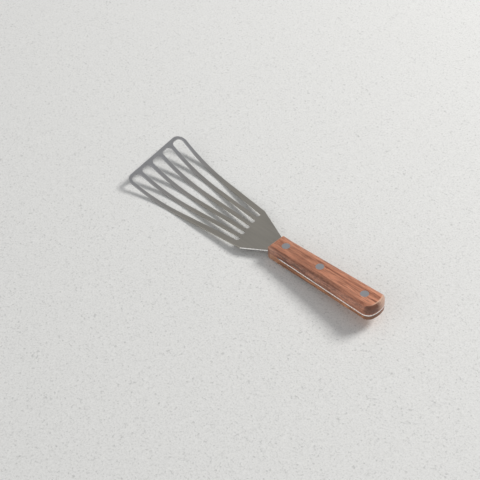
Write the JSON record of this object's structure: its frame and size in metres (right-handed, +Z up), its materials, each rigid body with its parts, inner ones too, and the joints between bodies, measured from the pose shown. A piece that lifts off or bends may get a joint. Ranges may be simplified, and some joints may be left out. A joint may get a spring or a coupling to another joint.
{
  "type": "fish spatula",
  "caption": "Slotted fish spatula with a fanned, upturned steel blade and a riveted full-tang wooden handle.",
  "frame": {"origin": "middle of the box round the resting spatula, on the table it lies on", "axes": "+X from the blade's tip to the handle's butt, +Y to the blade's longer corner, +Z up from the table"},
  "size_m": [0.2778, 0.0754, 0.024],
  "materials": {
    "blade_steel": "satin, fine lengthwise grain",
    "handle_wood": "oiled, red-brown with dark streaks",
    "rivet_steel": "ground flush, grey-blue"
  },
  "bodies": {
    "root": {"blade": "blade_steel", "upper_scale": "handle_wood", "lower_scale": "handle_wood", "front_rivet_tube": "rivet_steel", "middle_rivet_tube": "rivet_steel", "rear_rivet_tube": "rivet_steel", "front_rivet_pin": "rivet_steel", "middle_rivet_pin": "rivet_steel", "rear_rivet_pin": "rivet_steel"}
  },
  "joints": []
}
